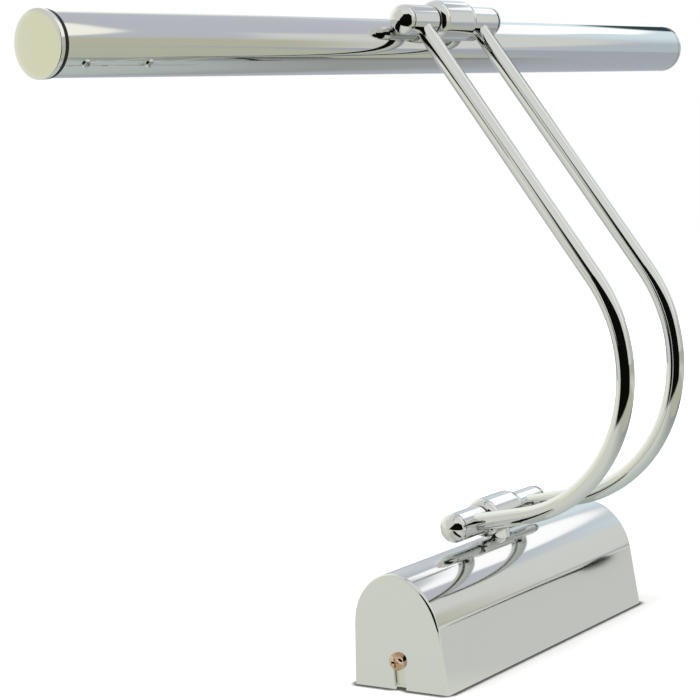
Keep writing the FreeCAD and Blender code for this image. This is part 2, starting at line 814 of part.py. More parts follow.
def end_cap(side):
    # Turned cap: flat polished disc with a rounded rim and a hollow spigot inside the tube.
    outer = head_length / 2
    flange = y_rod(cap_radius, outer - cap_flange, outer, 0, tube_axis_z)
    rim = edges_of(flange, lambda box: box.YMin > outer - 0.01 and box.XLength > 1)
    flange = flange.makeFillet(cap_edge_round, rim)
    spigot = y_rod(spigot_radius, spigot_end, outer - cap_flange, 0, tube_axis_z)
    bore_radius = spigot_radius - cap_spigot_wall
    spigot = spigot.cut(y_rod(bore_radius, spigot_end, outer - cap_flange, 0, tube_axis_z))
    cap = flange.fuse(spigot)
    if side < 0:
        cap = mirrored_y(cap).cut(rivet_holes())
    return cap


def cap_seals():
    ring = y_rod(tube_radius - seal_inset, tube_half, tube_half + seal_wall, 0, tube_axis_z)
    ring = ring.cut(y_rod(spigot_radius, tube_half, tube_half + seal_wall, 0, tube_axis_z))
    return Part.makeCompound([ring, mirrored_y(ring)])


def head_rivets():
    rivets = []
    for angle, y in rivet_places():
        grip = cap_spigot_wall if y < -spigot_end else carrier_flange
        inner = tube_inner - grip - cap_fit_gap
        head = radial_rod(rivet_head_radius, tube_radius - 1, tube_radius + rivet_head_height, angle, y)
        rims = sorted(head.Edges, key=lambda edge: edge.CenterOfMass.distanceToPoint(
            FreeCAD.Vector(0, y, tube_axis_z)))
        head = head.makeFillet(rivet_head_height * 0.8, rims[-1:])
        head = head.cut(tube_cylinder(tube_radius, tube_half))
        shank = radial_rod(rivet_radius, inner - rivet_tail, tube_radius + rivet_head_height / 2, angle, y)
        rivets.append(shank.fuse(head))
    return Part.makeCompound(rivets)


def led_carrier():
    # Extruded tray: a web under the board and curved flanges against the tube wall.
    length = 2 * (spigot_end - carrier_end_gap)
    middle = 180 - (carrier_top_angle + carrier_low_angle) / 2
    half_angle = (carrier_low_angle - carrier_top_angle) / 2
    inner = carrier_radius - carrier_flange
    flanges = []
    for side in (-1, 1):
        flanges.append(sector(inner, carrier_radius, half_angle, side * middle, length, tube_axis_z))
    web = block(2 * inner + carrier_flange, length, carrier_web, 0, 0, board_top_z)
    tray = web.common(tube_cylinder(carrier_radius, tube_half)).fuse(flanges).removeSplitter()
    return tray.cut(rivet_holes())


def led_board():
    return block(board_width, board_length, board_wall, 0, 0, board_top_z - board_wall)


def led_chips():
    chips = []
    pitch = board_length / led_count
    low_z = board_top_z - board_wall - led_height
    for number in range(led_count):
        y = (number + 0.5) * pitch - board_length / 2
        chips.append(block(led_width, led_length, led_height, 0, y, low_z))
    return Part.makeCompound(chips)


def diffuser():
    # Opal strip behind the slot, with a raised rib that fills it.
    skin = sector(carrier_radius - diffuser_wall, carrier_radius, diffuser_half_angle, 0,
                  diffuser_length, tube_axis_z)
    slip = math.degrees(diffuser_slot_gap / tube_radius)
    rib = sector(carrier_radius - diffuser_wall / 2, tube_radius - diffuser_flush_inset,
                 aperture_half_angle - slip, 0, aperture_length - 2 * diffuser_slot_gap, tube_axis_z)
    return skin.fuse(rib).removeSplitter()


def head_connectors():
    blocks = []
    for side in (-1, 1):
        body = block(connector_width, connector_length, connector_height, 0,
                     side * (connector_y + connector_length / 2), web_top_z)
        top = edges_of(body, lambda box: box.ZMin > web_top_z + 1 and box.YLength > 1)
        blocks.append(body.makeFillet(0.8, top))
    return Part.makeCompound(blocks)


def head_leads():
    # From the upper axle down its stud and along the tray to a connector on each side.
    beside = stud_bore - lead_radius - stud_lead_gap
    low_z = web_top_z + connector_lead_height
    leads = []
    for side in (-1, 1):
        points = [FreeCAD.Vector(0, side * arm_spacing / 2, 0), FreeCAD.Vector(0, side * beside, 0),
                  FreeCAD.Vector(0, side * beside, low_z), FreeCAD.Vector(0, side * connector_y, low_z)]
        leads.append(lead(points, [lead_end_bend, lead_tight_bend], lead_radius))
    return Part.makeCompound(leads)


def build():
    arm_low = heading_vector(lower_heading)
    arm_high = heading_vector(upper_heading) * -1
    base_seat = arch_solid(0)
    base_seat.translate(lower_hinge * -1)
    base_cavity = arch_solid(cover_wall)
    base_cavity.translate(lower_hinge * -1)
    tube_seat = tube_cylinder(tube_radius, tube_half)
    tube_cavity = tube_cylinder(tube_inner, tube_half)

    lower_flat = base_height - cover_wall - lower_saddle_flat - lower_hinge_height
    lower_tail = lower_flat - lock_washer_wall - lower_nut_height - stud_tail
    upper_flat = tube_axis_z + tube_inner - upper_saddle_flat
    upper_tail = upper_flat - lock_washer_wall - upper_nut_height - stud_tail

    # The windows face the arms through their whole swing, measured from +X of each joint's own frame.
    lower_windows = (lower_heading - arm_swing_high - window_end_spare,
                     lower_heading - arm_swing_low + window_end_spare)
    arm_in_head = upper_heading + 180 + head_tilt - 360
    upper_windows = (arm_in_head + head_swing_low - window_end_spare,
                     arm_in_head + head_swing_high + window_end_spare)

    nodes = {
        "base_cover": base_cover(),
        "end_screws": end_screws(),
        "wall_bracket": wall_bracket(),
        "cable_grommet": cable_grommet(),
        "led_driver": led_driver(),
        "driver_screws": driver_screws(),
        "terminal_block": terminal_block(),
        "terminal_sleeves": terminal_sleeves(),
        "terminal_screws": terminal_screws(),
        "earth_stud": earth_stud(),
        "earth_washer": earth_washer(),
        "earth_nut": earth_nut(),
        "earth_lead": earth_lead(),
        "supply_leads": supply_leads(),
        "lamp_leads": lamp_leads(),
        "lower_knuckle": to_lower(knuckle(base_seat)),
        "lower_axle": to_lower(axle(lower_windows)),
        "lower_washers": to_lower(friction_washers()),
        "lower_dome_nuts": to_lower(dome_nuts()),
        "lower_stud": to_lower(stud(-stud_seat, lower_tail)),
        "lower_spacer": to_lower(stud_spacer(lower_saddle_radius, lower_flat, base_cavity)),
        "lower_lock_washer": to_lower(lock_washer(lower_flat)),
        "lower_nut": to_lower(stud_nut(lower_flat - lock_washer_wall, lower_nut_height)),
        "upper_knuckle": to_upper(knuckle(tube_seat)),
        "upper_axle": to_upper(axle(upper_windows)),
        "upper_washers": to_upper(friction_washers()),
        "upper_dome_nuts": to_upper(dome_nuts()),
        "upper_stud": to_upper(stud(-stud_seat, upper_tail)),
        "upper_spacer": to_upper(stud_spacer(upper_saddle_radius, upper_flat, tube_cavity)),
        "upper_lock_washer": to_upper(lock_washer(upper_flat)),
        "upper_nut": to_upper(stud_nut(upper_flat - lock_washer_wall, upper_nut_height)),
        "lamp_tube": to_upper(lamp_tube()),
        "cap_seals": to_upper(cap_seals()),
        "head_rivets": to_upper(head_rivets()),
        "led_carrier": to_upper(led_carrier()),
        "led_board": to_upper(led_board()),
        "led_chips": to_upper(led_chips()),
        "diffuser": to_upper(diffuser()),
        "head_connectors": to_upper(head_connectors()),
        "head_leads": to_upper(head_leads()),
    }
    for name, side in (("near", -1), ("far", 1)):
        nodes["arm_" + name] = arm(side)
        nodes["arm_lead_" + name] = arm_lead(side)
        nodes["lower_barrel_" + name] = barrel(lower_hinge, arm_low, side)
        nodes["upper_barrel_" + name] = barrel(upper_hinge, arm_high, side)
        nodes["end_cap_" + name] = to_upper(end_cap(side))
    return nodes


os.makedirs("parts", exist_ok=True)
for node, shape in build().items():
    shape.exportStep("parts/" + node + ".step")
    print(node, "solids", len(shape.Solids), "volume", round(shape.Volume, 1), "valid", shape.isValid())
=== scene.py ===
import math

import bmesh
import bpy
from mathutils import Matrix, Vector


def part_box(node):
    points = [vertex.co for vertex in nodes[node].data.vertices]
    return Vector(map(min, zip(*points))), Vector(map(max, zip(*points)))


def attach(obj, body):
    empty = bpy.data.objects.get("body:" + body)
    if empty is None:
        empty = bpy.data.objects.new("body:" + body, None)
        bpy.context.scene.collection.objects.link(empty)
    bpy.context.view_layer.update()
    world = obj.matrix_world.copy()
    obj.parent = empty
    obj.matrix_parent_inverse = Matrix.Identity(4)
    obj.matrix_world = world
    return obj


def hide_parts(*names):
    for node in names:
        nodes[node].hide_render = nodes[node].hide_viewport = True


# Bathroom mirror light in bright chrome: arched wall base, two bent swing arms, slotted tube lamp.
# The CAD nodes carry the shapes. The base cover, both end caps and their seals are made again here with
# cleaner edges. The rest is finishes, the room that the chrome mirrors, the paper floor, lamps and camera.

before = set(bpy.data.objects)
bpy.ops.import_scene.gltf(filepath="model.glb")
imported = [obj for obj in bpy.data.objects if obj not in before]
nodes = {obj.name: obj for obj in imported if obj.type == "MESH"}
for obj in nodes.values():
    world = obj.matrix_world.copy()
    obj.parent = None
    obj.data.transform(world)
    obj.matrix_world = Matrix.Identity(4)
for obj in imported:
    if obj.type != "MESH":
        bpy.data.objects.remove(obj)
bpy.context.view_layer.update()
mm = 0.001


def hexColour(code):
    # sRGB hex to the linear colour that the shaders use
    values = []
    for start in (0, 2, 4):
        part = int(code.lstrip("#")[start:start + 2], 16) / 255
        values.append(part / 12.92 if part <= 0.04045 else ((part + 0.055) / 1.055) ** 2.4)
    return (*values, 1.0)


def addNode(tree, kind, settings=None, inputs=None):
    # one node with its settings and links; an input is a value, an output socket or the node that feeds it
    node = tree.nodes.new(kind)
    for name, value in (settings or {}).items():
        setattr(node, name, value)
    for name, value in (inputs or {}).items():
        if isinstance(value, bpy.types.Node):
            value = next(socket for socket in value.outputs if socket.enabled)
        if isinstance(value, bpy.types.NodeSocket):
            tree.links.new(value, node.inputs[name])
        else:
            node.inputs[name].default_value = value
    return node


# settings that many nodes share
multiply = {"operation": "MULTIPLY"}
smoothly = {"interpolation_type": "SMOOTHSTEP"}
mixColours = {"data_type": "RGBA"}


def newMaterial(name):
    material = bpy.data.materials.new(name)
    material.use_nodes = True
    material.node_tree.nodes.clear()
    return material, material.node_tree


def grainNoise(tree, sizeMm, detail, stretch=None):
    # noise in the object's own space whose grains are sizeMm across
    place = addNode(tree, "ShaderNodeTexCoord").outputs["Object"]
    if stretch:
        place = addNode(tree, "ShaderNodeMapping", inputs={"Vector": place, "Scale": stretch})
    return addNode(tree, "ShaderNodeTexNoise",
                   inputs={"Vector": place, "Scale": 1 / (sizeMm * mm), "Detail": detail})


def finishSurface(tree, colour, metallic, pattern, rough, relief, depthMm, more=None):
    # What all finishes share: roughness that runs over a range with one pattern, and the relief of another.
    surface = {
        "Base Color": colour, "Metallic": metallic,
        "Roughness": addNode(tree, "ShaderNodeMapRange",
                             inputs={"Value": pattern, "To Min": rough[0], "To Max": rough[1]}),
        "Normal": addNode(tree, "ShaderNodeBump",
                          inputs={"Height": relief, "Distance": depthMm * mm, "Strength": 1.0}),
        **(more or {}),
    }
    shader = addNode(tree, "ShaderNodeBsdfPrincipled", inputs=surface)
    addNode(tree, "ShaderNodeOutputMaterial", inputs={"Surface": shader})


# Roughness runs from clean plate to wiped film. The waves are long and soft, as buffing leaves them.
chromeLook = {
    "tint": "#DEDFDE",           # bright chrome, a hair cooler than silver
    "hazeMm": 22.0, "hazeDetail": 3.0, "waveDetail": 1.0,
    "drawnTube": {"rough": (0.025, 0.05), "waveMm": 32.0, "waveDepthMm": 0.0016, "stretch": (1.0, 0.3, 1.0)},
    "turnedBrass": {"rough": (0.025, 0.05), "waveMm": 6.4, "waveDepthMm": 0.00048, "stretch": None},
    "pressedSteel": {"rough": (0.075, 0.095), "waveMm": 38.4, "waveDepthMm": 0.00048, "stretch": None},
}


def buffedChrome(metal):
    # Chrome plate on buffed metal: a sharp mirror whose images waver a little.
    look = chromeLook[metal]
    material, tree = newMaterial(metal + "Chrome")
    haze = grainNoise(tree, chromeLook["hazeMm"], chromeLook["hazeDetail"])
    wave = grainNoise(tree, look["waveMm"], chromeLook["waveDetail"], look["stretch"])
    finishSurface(tree, hexColour(chromeLook["tint"]), 1.0, haze, look["rough"], wave, look["waveDepthMm"])
    return material


zincLook = {"colour": "#DADBD0", "rough": (0.2, 0.32),
            "spangleMm": 2.4, "spangleDetail": 4.0, "spangleDepthMm": 0.006}


def zincPlatedSteel():
    # Bright zinc plate on pressed steel: a soft grey sheen that changes from grain to grain.
    material, tree = newMaterial("zincPlatedSteel")
    spangle = grainNoise(tree, zincLook["spangleMm"], zincLook["spangleDetail"])
    finishSurface(tree, hexColour(zincLook["colour"]), 1.0, spangle, zincLook["rough"],
                  spangle, zincLook["spangleDepthMm"])
    return material


nickelLook = {
    "plate": "#EDE6D8", "wornPlate": "#C39C80", "rough": (0.05, 0.10),
    "wearMm": 2.2, "wearDetail": 1.0, "wearRange": (-0.6, 2.4),      # past 0 to 1, so the patches are clear
    "turningMm": 0.35, "turningDetail": 2.0, "turningStretch": (1.0, 0.15, 1.0), "turningDepthMm": 0.0006,
}


def nickelPlatedBrass():
    # Nickel plate on turned brass: a slightly soft mirror, rosy where the plate is thin. Its turning marks
    # are drawn coarser than real ones, so that they show.
    material, tree = newMaterial("nickelPlatedBrass")
    marks = grainNoise(tree, nickelLook["turningMm"], nickelLook["turningDetail"],
                       nickelLook["turningStretch"])
    patches = grainNoise(tree, nickelLook["wearMm"], nickelLook["wearDetail"])
    thick, thin = nickelLook["wearRange"]
    wear = addNode(tree, "ShaderNodeMapRange", inputs={"Value": patches, "To Min": thick, "To Max": thin})
    plate = addNode(tree, "ShaderNodeMix", mixColours, {
        "Factor": wear, "A": hexColour(nickelLook["plate"]), "B": hexColour(nickelLook["wornPlate"])})
    finishSurface(tree, plate, 1.0, marks, nickelLook["rough"], marks, nickelLook["turningDepthMm"])
    return material


aluminiumLook = {"colour": "#C9CBCD", "rough": (0.3, 0.4), "dieLineMm": 0.5, "dieLineDetail": 2.0,
                 "dieLineStretch": (1.0, 0.01, 1.0), "dieLineDepthMm": 0.004}


def extrudedAluminium():
    # Mill finish aluminium: die lines run along the length and stretch its highlights.
    material, tree = newMaterial("extrudedAluminium")
    lines = grainNoise(tree, aluminiumLook["dieLineMm"], aluminiumLook["dieLineDetail"],
                       aluminiumLook["dieLineStretch"])
    finishSurface(tree, hexColour(aluminiumLook["colour"]), 1.0, lines, aluminiumLook["rough"],
                  lines, aluminiumLook["dieLineDepthMm"])
    return material


# Colour, roughness and grain in mm. The grain is drawn coarser than the moulds' own, so that it shows.
plasticLook = {
    "blackNylon": ("#141414", 0.45, 0.30), "blackRubber": ("#0E0E0E", 0.7, 0.25),
    "naturalNylon": ("#E2DFD4", 0.4, 0.30), "whiteAbs": ("#E9E9E5", 0.42, 0.45),
    "whitePvc": ("#E4E4DF", 0.5, 0.6), "brownPvc": ("#6B4226", 0.5, 0.6), "earthPvc": ("#5E8C2A", 0.5, 0.6),
    "whiteSolderMask": ("#F0F0EC", 0.3, 0.4), "ledPhosphor": ("#EFCB52", 0.35, 0.2),
}
plasticGrain = {"detail": 3.0, "depthMm": 0.004, "roughSwing": 0.06,
                "patchMm": 14.0, "patchDetail": 2.0, "patchShare": 0.12, "patchTone": 0.7}


def mouldedPlastic(name):
    # Moulded or extruded polymer: one body colour, a fine eroded texture and a soft highlight.
    code, rough, grainMm = plasticLook[name]
    body = hexColour(code)
    material, tree = newMaterial(name)
    grain = grainNoise(tree, grainMm, plasticGrain["detail"])
    patches = addNode(tree, "ShaderNodeMapRange", inputs={
        "Value": grainNoise(tree, plasticGrain["patchMm"], plasticGrain["patchDetail"]),
        "To Max": plasticGrain["patchShare"]})
    tone = addNode(tree, "ShaderNodeMix", mixColours, {
        "Factor": patches, "A": body, "B": (*(plasticGrain["patchTone"] * part for part in body[:3]), 1.0)})
    swing = plasticGrain["roughSwing"]
    finishSurface(tree, tone, 0.0, grain, (rough - swing, rough + swing), grain, plasticGrain["depthMm"])
    return material


diffuserLook = {
    "colour": "#F3F3EE", "rough": (0.18, 0.28), "milkMm": 1.6, "milkDetail": 3.0,
    "scatter": 0.6, "scatterReach": (1.0, 1.0, 0.95), "scatterMm": 1.5,
    "dieWaveMm": 30.0, "dieWaveDetail": 1.0, "dieWaveStretch": (1.0, 0.05, 1.0), "dieWaveDepthMm": 0.02,
}


def opalAcrylic():
    # Extruded opal acrylic: milky, so light enters and scatters, under a soft satin surface.
    material, tree = newMaterial("opalAcrylic")
    milk = grainNoise(tree, diffuserLook["milkMm"], diffuserLook["milkDetail"])
    wave = grainNoise(tree, diffuserLook["dieWaveMm"], diffuserLook["dieWaveDetail"],
                      diffuserLook["dieWaveStretch"])
    finishSurface(tree, hexColour(diffuserLook["colour"]), 0.0, milk, diffuserLook["rough"],
                  wave, diffuserLook["dieWaveDepthMm"],
                  {"Subsurface Weight": diffuserLook["scatter"],
                   "Subsurface Radius": diffuserLook["scatterReach"],
                   "Subsurface Scale": diffuserLook["scatterMm"] * mm})
    return material


def dressNodes():
    turnedChrome = buffedChrome("turnedBrass")
    pressedChrome = buffedChrome("pressedSteel")
    blackRubber = mouldedPlastic("blackRubber")
    finishes = {
        buffedChrome("drawnTube"): ["lamp_tube", "arm_near", "arm_far"],
        turnedChrome: ["lower_knuckle", "lower_barrel_near", "lower_barrel_far", "lower_dome_nuts",
                       "upper_knuckle", "upper_barrel_near", "upper_barrel_far", "upper_dome_nuts",
                       "end_cap_near", "end_cap_far", "head_rivets"],
        pressedChrome: ["base_cover"],
        zincPlatedSteel(): ["wall_bracket", "driver_screws", "earth_stud", "earth_washer", "earth_nut",
                            "lower_stud", "lower_lock_washer", "lower_nut", "upper_stud", "upper_lock_washer",
                            "upper_nut", "lower_axle", "upper_axle", "terminal_screws"],
        nickelPlatedBrass(): ["end_screws", "terminal_sleeves"],
        extrudedAluminium(): ["led_carrier"],
        mouldedPlastic("blackNylon"): ["lower_washers", "upper_washers"],
        blackRubber: ["cap_seals", "cable_grommet"],
        mouldedPlastic("naturalNylon"): ["terminal_block", "head_connectors", "lower_spacer", "upper_spacer"],
        mouldedPlastic("whiteAbs"): ["led_driver"],
        mouldedPlastic("whitePvc"): ["lamp_leads", "arm_lead_near", "arm_lead_far", "head_leads"],
        mouldedPlastic("brownPvc"): ["supply_leads"],
        mouldedPlastic("earthPvc"): ["earth_lead"],
        mouldedPlastic("whiteSolderMask"): ["led_board"],
        mouldedPlastic("ledPhosphor"): ["led_chips"],
        opalAcrylic(): ["diffuser"],
    }
    missing = set(nodes).difference(*finishes.values())
    if missing:
        raise RuntimeError("nodes with no finish: " + ", ".join(sorted(missing)))
    for material, names in finishes.items():
        for name in names:
            nodes[name].data.materials.clear()
            nodes[name].data.materials.append(material)
    tubeEnds(turnedChrome, blackRubber)
    pressedCover(pressedChrome)


sharpAngle = 35                  # degrees between two faces from which their edge is drawn sharp


def placeMesh(name, mesh):
    bmesh.ops.recalc_face_normals(mesh, faces=mesh.faces)
    data = bpy.data.meshes.new(name)
    mesh.to_mesh(data)
    mesh.free()
    piece = bpy.data.objects.new(name, data)
    bpy.context.scene.collection.objects.link(piece)
    return piece


def finishPiece(piece, material, body, node):
    piece.data.materials.append(material)
    piece.data.shade_smooth()
    piece.data.set_sharp_from_angle(angle=math.radians(sharpAngle))
    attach(piece, body)
    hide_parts(node)


# The lamp tube's end caps, in mm. The near one stands proud of the tube and the far one is flush with it.
capShape = {
    "radius": 12.99, "flange": 2.0, "edgeRound": 0.25, "crown": 0.14,
    "farRadius": 12.55, "farFlange": 2.85, "farRound": 1.0, "skirtRadius": 11.84,
    "spigotRadius": 11.4, "spigotWall": 1.5, "spigotEnd": 19.9,
    "segments": 128, "faceSteps": 6, "edgeSteps": 5,
}
# Rubber seals, as radius and distance from the cap's face. The near one has a foot on the spigot and a lip
# on the tube.
nearSeal = [(11.42, 2.02), (12.60, 2.02), (12.80, 2.10), (12.88, 2.35), (12.88, 3.40), (12.80, 3.80),
            (12.66, 4.05), (12.52, 4.15), (12.52, 2.93), (11.42, 2.88)]
farSeal = [(11.42, 2.02), (11.82, 2.02), (11.82, 2.88), (11.42, 2.88)]


def turnOnTube(mesh, profile, side):
    # Turns a closed profile of radius and depth in mm about the lamp tube's axis.
    low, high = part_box("end_cap_near" if side < 0 else "end_cap_far")
    end = low[1] if side < 0 else high[1]
    middleX, middleZ = (low[0] + high[0]) / 2, (low[2] + high[2]) / 2
    segments = capShape["segments"]
    rings = []
    for radius, depth in profile:
        turns = [2 * math.pi * step / segments for step in range(segments if radius > 0 else 1)]
        rings.append([mesh.verts.new((middleX + radius * mm * math.cos(turn), end - side * depth * mm,
                                      middleZ + radius * mm * math.sin(turn))) for turn in turns])
    for first, second in zip(rings, rings[1:] + rings[:1]):
        for step in range(segments):
            after = (step + 1) % segments
            # a point on the axis stands for its whole ring, so a face there has fewer corners
            corners = dict.fromkeys([first[step % len(first)], first[after % len(first)],
                                     second[after % len(second)], second[step % len(second)]])
            if len(corners) > 2:
                mesh.faces.new(list(corners))


def capProfile(radius, flange, edgeRound, skirtRadius=None):
    # From the middle of the face, over the edge, the rim and the spigot, and back to the middle.
    flatRadius, crown = radius - edgeRound, capShape["crown"]
    faceSteps, edgeSteps = capShape["faceSteps"], capShape["edgeSteps"]
    profile = [(flatRadius * step / faceSteps, crown * (step / faceSteps) ** 2)
               for step in range(faceSteps + 1)]
    for step in range(1, edgeSteps + 1):
        angle = math.pi / 2 * step / edgeSteps
        profile.append((flatRadius + edgeRound * math.sin(angle), crown + edgeRound * (1 - math.cos(angle))))
    profile.append((radius, flange))
    if skirtRadius:
        profile += [(skirtRadius, flange), (skirtRadius, capShape["flange"])]
    spigot, wall, end = (capShape[name] for name in ("spigotRadius", "spigotWall", "spigotEnd"))
    return profile + [(spigot, capShape["flange"]), (spigot, end), (spigot - wall, end),
                      (spigot - wall, capShape["flange"]), (0, capShape["flange"])]


def tubeEnds(chrome, rubber):
    nearCap = bmesh.new()
    turnOnTube(nearCap, capProfile(capShape["radius"], capShape["flange"], capShape["edgeRound"]), -1)
    finishPiece(placeMesh("nearEndCap", nearCap), chrome, "head", "end_cap_near")
    farCap = bmesh.new()
    turnOnTube(farCap, capProfile(capShape["farRadius"], capShape["farFlange"], capShape["farRound"],
                                  capShape["skirtRadius"]), 1)
    finishPiece(placeMesh("farEndCap", farCap), chrome, "head", "end_cap_far")
    seals = bmesh.new()
    turnOnTube(seals, nearSeal, -1)
    turnOnTube(seals, farSeal, 1)
    finishPiece(placeMesh("tubeEndSeals", seals), rubber, "head", "cap_seals")


# The cover has the CAD cover's sizes in mm, in even strips so that its long reflections run clean.
coverShape = {
    "halfLength": 84.0, "halfWidth": 26.0, "height": 51.8, "crownHalfWidth": 23.35, "crownRise": 27.0,
    "wall": 1.2, "endRound": 1.2, "slotHalfWidth": 3.1, "slotTop": 12.9, "studHole": 4.15,
    "drillLength": 20.0, "drillSegments": 64, "crownSteps": 120, "roundSteps": 6, "slotSteps": 14,
    "edgeStrip": 0.3,            # narrow strip beside each bend, which keeps the flat parts flat
    "footStrip": 5.5,            # half the strip round the stud hole, under the hinge
}


def coverOutline(inset):
    # One section from foot to foot: leaning sides tangent to an elliptical crown.
    centre = coverShape["height"] - coverShape["crownRise"]
    across, rise = coverShape["crownHalfWidth"] - inset, coverShape["crownRise"] - inset
    foot = coverShape["halfWidth"] - inset
    reach = math.hypot(foot / across, centre / rise)
    sweep = math.pi + math.asin(1 / reach) - math.atan2(centre / rise, -foot / across)
    steps = coverShape["crownSteps"]
    turns = [sweep * (1 - 2 * step / steps) for step in range(steps + 1)]
    crown = [(across * math.sin(turn), centre + rise * math.cos(turn)) for turn in turns]
    touchX, touchZ = crown[0]
    share = coverShape["edgeStrip"] / touchZ
    besideX, besideZ = touchX + (foot - touchX) * share, touchZ * (1 - share)
    return [(foot, 0), (besideX, besideZ), *crown, (-besideX, besideZ), (-foot, 0)]


def slotOutline():
    # From the foot of one side of the end slot, over its round top, to the other.
    half, top = coverShape["slotHalfWidth"], coverShape["slotTop"]
    steps = coverShape["slotSteps"]
    arc = [(-half * math.cos(math.pi * step / steps), top + half * math.sin(math.pi * step / steps))
           for step in range(steps + 1)]
    return [(-half, 0), *arc, (half, 0)]


def addRow(mesh, points, y):
    return [mesh.verts.new((x * mm, y * mm, z * mm)) for x, z in points]


def skinRows(mesh, first, second):
    for step in range(len(first) - 1):
        mesh.faces.new((first[step], first[step + 1], second[step + 1], second[step]))


def pressedCover(chrome):
    # each section is a distance along the base and how far the outline draws in there
    half, bend, strip = (coverShape[name] for name in ("halfLength", "endRound", "edgeStrip"))
    sections = [(half, bend + strip)]
    for step in range(coverShape["roundSteps"] + 1):
        angle = math.pi / 2 * step / coverShape["roundSteps"]
        sections.append((half - bend * (1 - math.cos(angle)), bend * (1 - math.sin(angle))))
    sections += [(half - bend - strip, 0), (coverShape["footStrip"], 0)]
    mesh = bmesh.new()
    rings = [addRow(mesh, coverOutline(inset), -y) for y, inset in sections]
    rings += [addRow(mesh, coverOutline(inset), y) for y, inset in reversed(sections)]
    for first, second in zip(rings, rings[1:]):
        skinRows(mesh, first, second)
    innerEnd = half - coverShape["wall"]
    inner = [addRow(mesh, coverOutline(coverShape["wall"]), y) for y in (-innerEnd, innerEnd)]
    skinRows(mesh, *inner)
    slots = [addRow(mesh, slotOutline(), y) for y in (-half, -innerEnd, innerEnd, half)]
    skinRows(mesh, slots[0], slots[1])
    skinRows(mesh, slots[2], slots[3])
    for ring, slot in zip((rings[0], inner[0], inner[1], rings[-1]), slots):
        mesh.faces.new(ring + slot)
    for side, slotSide in ((0, -1), (-1, 0)):        # the rim on the wall, either side of the slots
        mesh.faces.new([slots[0][slotSide]] + [ring[side] for ring in rings]
                       + [slots[3][slotSide], slots[2][slotSide], inner[1][side], inner[0][side],
                          slots[1][slotSide]])
    cover = placeMesh("pressedCover", mesh)
    drillStudHole(cover)
    finishPiece(cover, chrome, "base", "base_cover")


def drillStudHole(cover):
    drill = bmesh.new()
    radius = coverShape["studHole"] * mm
    bmesh.ops.create_cone(drill, cap_ends=True, segments=coverShape["drillSegments"],
                          radius1=radius, radius2=radius, depth=coverShape["drillLength"] * mm,
                          matrix=Matrix.Translation((0, 0, coverShape["height"] * mm)))
    drillPiece = placeMesh("studDrill", drill)
    cut = cover.modifiers.new("studHole", "BOOLEAN")
    cut.operation = "DIFFERENCE"
    cut.object = drillPiece
    drilled = bpy.data.meshes.new_from_object(cover.evaluated_get(bpy.context.evaluated_depsgraph_get()))
    cover.modifiers.clear()
    cover.data = drilled
    bpy.data.objects.remove(drillPiece)


black, white = hexColour("#000000"), hexColour("#FFFFFF")


def colourRamp(tree, value, colours):
    # blends between colours that each stand at a value
    start, end = min(colours), max(colours)
    share = addNode(tree, "ShaderNodeMapRange", inputs={"Value": value, "From Min": start, "From Max": end})
    ramp = addNode(tree, "ShaderNodeValToRGB", inputs={"Fac": share})
    stops = ramp.color_ramp.elements
    stops.remove(stops[1])
    for at, colour in colours.items():
        stop = stops[0] if at == start else stops.new((at - start) / (end - start))
        stop.color = hexColour(colour)
    return ramp


def addPanel(name, material, corners, faces):
    mesh = bpy.data.meshes.new(name)
    mesh.from_pydata(corners, [], faces)
    mesh.materials.append(material)
    panel = bpy.data.objects.new(name, mesh)
    bpy.context.scene.collection.objects.link(panel)
    return panel


def addSheet(name, material):
    # a square 2 m across, to be scaled
    return addPanel(name, material, [(-1, -1, 0), (1, -1, 0), (1, 1, 0), (-1, 1, 0)], [(0, 1, 2, 3)])


def mirroredOnly(thing):
    # the camera and plain surfaces don't see it, and it casts no shadow
    thing.visible_camera = False
    thing.visible_diffuse = False
    thing.visible_shadow = False


# The room that the chrome mirrors.
room = {
    "walls": {-1.0: "#BFC3B6", 0.0: "#E3E5DE", 0.70: "#F0F1EC", 1.0: "#E4E6E8"},     # by the elevation's sine
    "roomLight": 0.62,           # what the walls give to plain surfaces
    "backdropLight": 1.0,        # what the camera sees behind
    "middle": (0.0, 0.0, 0.2),   # the object's middle, which the cards face
}
